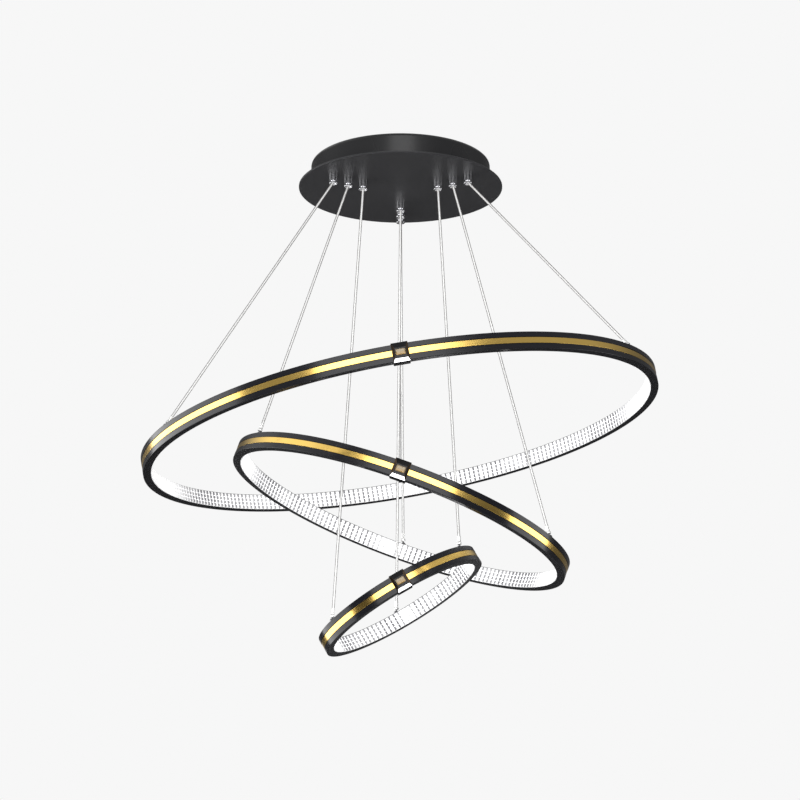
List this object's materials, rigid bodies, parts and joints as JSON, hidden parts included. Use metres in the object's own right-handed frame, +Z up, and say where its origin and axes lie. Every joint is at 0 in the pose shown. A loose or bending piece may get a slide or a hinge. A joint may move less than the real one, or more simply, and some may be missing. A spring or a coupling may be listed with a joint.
{
  "type": "led ring chandelier",
  "caption": "Round black ceiling canopy carrying three tilted LED rings of falling size on thin taut cables, black and gold outside, crystal lens inside.",
  "frame": {"origin": "centre of the canopy's ceiling face", "axes": "+Z up into the ceiling, -Y the front with the clasps, +X to the viewer's right"},
  "size_m": [0.594, 0.6026, 0.5859],
  "materials": {
    "canopy_black": "satin black powder coat",
    "black_screws": "black oxide",
    "rubber": "moulded rubber",
    "white_plastic": "moulded white plastic",
    "circuit_board": "green solder mask",
    "chrome": "polished chrome plate",
    "zinc_steel": "zinc plated",
    "band_black": "black anodised, satin",
    "gold": "polished gold anodised strip",
    "led_strip": "white circuit strip with LED chips",
    "crystal_lens": "clear ribbed acrylic, crystal cut",
    "dark_chrome": "black nickel plate",
    "clasp_black": "gloss black with bright edges",
    "amber_stone": "smoked amber crystal",
    "clear_cable": "steel wire in a clear jacket"
  },
  "bodies": {
    "canopy": {"canopy_drum": "canopy_black", "canopy_plate": "canopy_black", "canopy_hoop": "zinc_steel", "side_screws": "black_screws", "cable_grommet": "rubber", "driver_case": "white_plastic", "driver_lid": "white_plastic", "driver_board": "circuit_board", "terminal_block": "white_plastic", "gripper_barrels": "chrome", "gripper_nuts": "zinc_steel", "gripper_springs": "zinc_steel", "large_left_cable": "clear_cable", "large_right_cable": "clear_cable", "large_rear_cable": "clear_cable", "middle_left_cable": "clear_cable", "middle_right_cable": "clear_cable", "middle_rear_cable": "clear_cable", "small_left_cable": "clear_cable", "small_right_cable": "clear_cable", "small_rear_cable": "clear_cable"},
    "large_left_end": {"large_left_ferrule": "dark_chrome"},
    "large_right_end": {"large_right_ferrule": "dark_chrome"},
    "large_ring": {"large_profile": "band_black", "large_gold_strip": "gold", "large_led_strip": "led_strip", "large_lens": "crystal_lens", "large_ball_studs": "dark_chrome", "large_clasp": "clasp_black", "large_clasp_stone": "amber_stone", "large_rear_ferrule": "dark_chrome"},
    "large_left_release_collar": {"large_left_release": "chrome"},
    "large_right_release_collar": {"large_right_release": "chrome"},
    "large_rear_release_collar": {"large_rear_release": "chrome"},
    "middle_left_end": {"middle_left_ferrule": "dark_chrome"},
    "middle_right_end": {"middle_right_ferrule": "dark_chrome"},
    "middle_ring": {"middle_profile": "band_black", "middle_gold_strip": "gold", "middle_led_strip": "led_strip", "middle_lens": "crystal_lens", "middle_ball_studs": "dark_chrome", "middle_clasp": "clasp_black", "middle_clasp_stone": "amber_stone", "middle_rear_ferrule": "dark_chrome"},
    "middle_left_release_collar": {"middle_left_release": "chrome"},
    "middle_right_release_collar": {"middle_right_release": "chrome"},
    "middle_rear_release_collar": {"middle_rear_release": "chrome"},
    "small_left_end": {"small_left_ferrule": "dark_chrome"},
    "small_right_end": {"small_right_ferrule": "dark_chrome"},
    "small_ring": {"small_profile": "band_black", "small_gold_strip": "gold", "small_led_strip": "led_strip", "small_lens": "crystal_lens", "small_ball_studs": "dark_chrome", "small_clasp": "clasp_black", "small_clasp_stone": "amber_stone", "small_rear_ferrule": "dark_chrome"},
    "small_left_release_collar": {"small_left_release": "chrome"},
    "small_right_release_collar": {"small_right_release": "chrome"},
    "small_rear_release_collar": {"small_rear_release": "chrome"}
  },
  "joints": [
    {"name": "large_left_cable_take_up", "type": "hinge", "parent": "canopy", "child": "large_left_end", "pos_m": [0.25217, -0.13708, -0.26434], "axis": [-0.5068, 0.8574, -0.0899], "range_deg": [0, 5.5], "deforming": ["large_left_cable"]},
    {"name": "large_right_cable_take_up", "type": "hinge", "parent": "large_left_end", "child": "large_right_end", "pos_m": [-0.25605, -0.1374, -0.35445], "axis": [-0.5074, -0.857, -0.0899], "range_deg": [0, 5.5], "deforming": ["large_right_cable"]},
    {"name": "large_rear_cable_take_up", "type": "hinge", "parent": "large_right_end", "child": "large_ring", "pos_m": [-0.25605, -0.1374, -0.35445], "axis": [0.9846, 0.0006, 0.1746], "range_deg": [0, 5.5], "deforming": ["large_rear_cable"]},
    {"name": "large_left_release_push", "type": "slide", "parent": "canopy", "child": "large_left_release_collar", "axis": [0, 0, 1], "range_m": [0, 0.0014], "stiffness_N_per_m": 900, "springref_m": -0.001, "deforming": ["gripper_springs"]},
    {"name": "large_right_release_push", "type": "slide", "parent": "canopy", "child": "large_right_release_collar", "axis": [0, 0, 1], "range_m": [0, 0.0014], "stiffness_N_per_m": 900, "springref_m": -0.001, "deforming": ["gripper_springs"]},
    {"name": "large_rear_release_push", "type": "slide", "parent": "canopy", "child": "large_rear_release_collar", "axis": [0, 0, 1], "range_m": [0, 0.0014], "stiffness_N_per_m": 900, "springref_m": -0.001, "deforming": ["gripper_springs"]},
    {"name": "middle_left_cable_take_up", "type": "hinge", "parent": "canopy", "child": "middle_left_end", "pos_m": [0.16351, -0.09453, -0.46892], "axis": [-0.4772, 0.8613, 0.1747], "range_deg": [0, 6.5], "deforming": ["middle_left_cable"]},
    {"name": "middle_right_cable_take_up", "type": "hinge", "parent": "middle_left_end", "child": "middle_right_end", "pos_m": [-0.15664, -0.09429, -0.35153], "axis": [-0.4765, -0.8616, 0.175], "range_deg": [0, 6.5], "deforming": ["middle_right_cable"]},
    {"name": "middle_rear_cable_take_up", "type": "hinge", "parent": "middle_right_end", "child": "middle_ring", "pos_m": [-0.15664, -0.09429, -0.35153], "axis": [0.9389, -0.0007, -0.3442], "range_deg": [0, 6.5], "deforming": ["middle_rear_cable"]},
    {"name": "middle_left_release_push", "type": "slide", "parent": "canopy", "child": "middle_left_release_collar", "axis": [0, 0, 1], "range_m": [0, 0.0014], "stiffness_N_per_m": 900, "springref_m": -0.001, "deforming": ["gripper_springs"]},
    {"name": "middle_right_release_push", "type": "slide", "parent": "canopy", "child": "middle_right_release_collar", "axis": [0, 0, 1], "range_m": [0, 0.0014], "stiffness_N_per_m": 900, "springref_m": -0.001, "deforming": ["gripper_springs"]},
    {"name": "middle_rear_release_push", "type": "slide", "parent": "canopy", "child": "middle_rear_release_collar", "axis": [0, 0, 1], "range_m": [0, 0.0014], "stiffness_N_per_m": 900, "springref_m": -0.001, "deforming": ["gripper_springs"]},
    {"name": "small_left_cable_take_up", "type": "hinge", "parent": "canopy", "child": "small_left_end", "pos_m": [0.06576, -0.05026, -0.47065], "axis": [-0.4183, 0.8702, -0.2604], "range_deg": [0, 9], "deforming": ["small_left_cable"]},
    {"name": "small_right_cable_take_up", "type": "hinge", "parent": "small_left_end", "child": "small_right_end", "pos_m": [-0.07542, -0.0516, -0.55381], "axis": [-0.4185, -0.8779, -0.2326], "range_deg": [0, 9], "deforming": ["small_right_cable"]},
    {"name": "small_rear_cable_take_up", "type": "hinge", "parent": "small_right_end", "child": "small_ring", "pos_m": [-0.07542, -0.0516, -0.55381], "axis": [0.8616, 0.0082, 0.5075], "range_deg": [0, 9], "deforming": ["small_rear_cable"]},
    {"name": "small_left_release_push", "type": "slide", "parent": "canopy", "child": "small_left_release_collar", "axis": [0, 0, 1], "range_m": [0, 0.0014], "stiffness_N_per_m": 900, "springref_m": -0.001, "deforming": ["gripper_springs"]},
    {"name": "small_right_release_push", "type": "slide", "parent": "canopy", "child": "small_right_release_collar", "axis": [0, 0, 1], "range_m": [0, 0.0014], "stiffness_N_per_m": 900, "springref_m": -0.001, "deforming": ["gripper_springs"]},
    {"name": "small_rear_release_push", "type": "slide", "parent": "canopy", "child": "small_rear_release_collar", "axis": [0, 0, 1], "range_m": [0, 0.0014], "stiffness_N_per_m": 900, "springref_m": -0.001, "deforming": ["gripper_springs"]}
  ]
}
